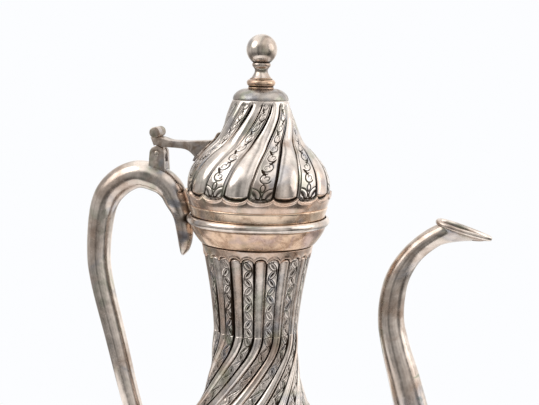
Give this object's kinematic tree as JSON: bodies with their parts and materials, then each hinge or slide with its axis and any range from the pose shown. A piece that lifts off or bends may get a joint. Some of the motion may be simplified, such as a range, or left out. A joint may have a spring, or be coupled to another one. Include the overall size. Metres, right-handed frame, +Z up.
{
  "type": "coffee pot",
  "caption": "Swirl-fluted silver-plated ewer-style coffee pot (dallah) with a swan-neck spout, a horn-shaped handle and a hinged domed lid with a ball finial.",
  "frame": {"origin": "middle of the foot's flat underside, on the table and on the pot's axis", "axes": "+Z up the pot's axis, +X towards the spout, -X towards the handle, Y along the lid's hinge pin"},
  "size_m": [0.2075, 0.0996, 0.2878],
  "materials": {
    "silver_plate": "silver-plated brass, worn and polished on the crests, tarnished brown-black in the grooves",
    "gilt_band": "silver-plated brass with a warm gold tarnish, polished",
    "bare_brass": "plain turned brass",
    "pin_metal": "silvered brass wire, peened ends"
  },
  "bodies": {
    "pot": {"foot_ring": "silver_plate", "foot_shell": "silver_plate", "foot_knop": "silver_plate", "body_floor": "silver_plate", "body_lower": "silver_plate", "body_upper": "silver_plate", "neck": "silver_plate", "rim_cup": "silver_plate", "rim_bead": "silver_plate", "spout": "silver_plate", "spout_mouth": "silver_plate", "handle": "silver_plate", "hinge_lug": "silver_plate", "hinge_pin": "pin_metal"},
    "lid": {"lid_band": "gilt_band", "lid_bezel": "silver_plate", "lid_dome": "silver_plate", "lid_cap": "silver_plate", "lid_leaf": "silver_plate", "lid_strap": "silver_plate", "thumb_roll": "silver_plate", "finial_base": "silver_plate", "finial_stem": "silver_plate", "finial_ball": "silver_plate", "finial_stud": "bare_brass", "finial_washer": "bare_brass", "finial_nut": "bare_brass"}
  },
  "joints": [
    {"name": "lid_hinge", "type": "hinge", "parent": "pot", "child": "lid", "pos_m": [-0.0526, 0, 0.2267], "axis": [0, -1, 0], "range_deg": [0, 86]}
  ]
}
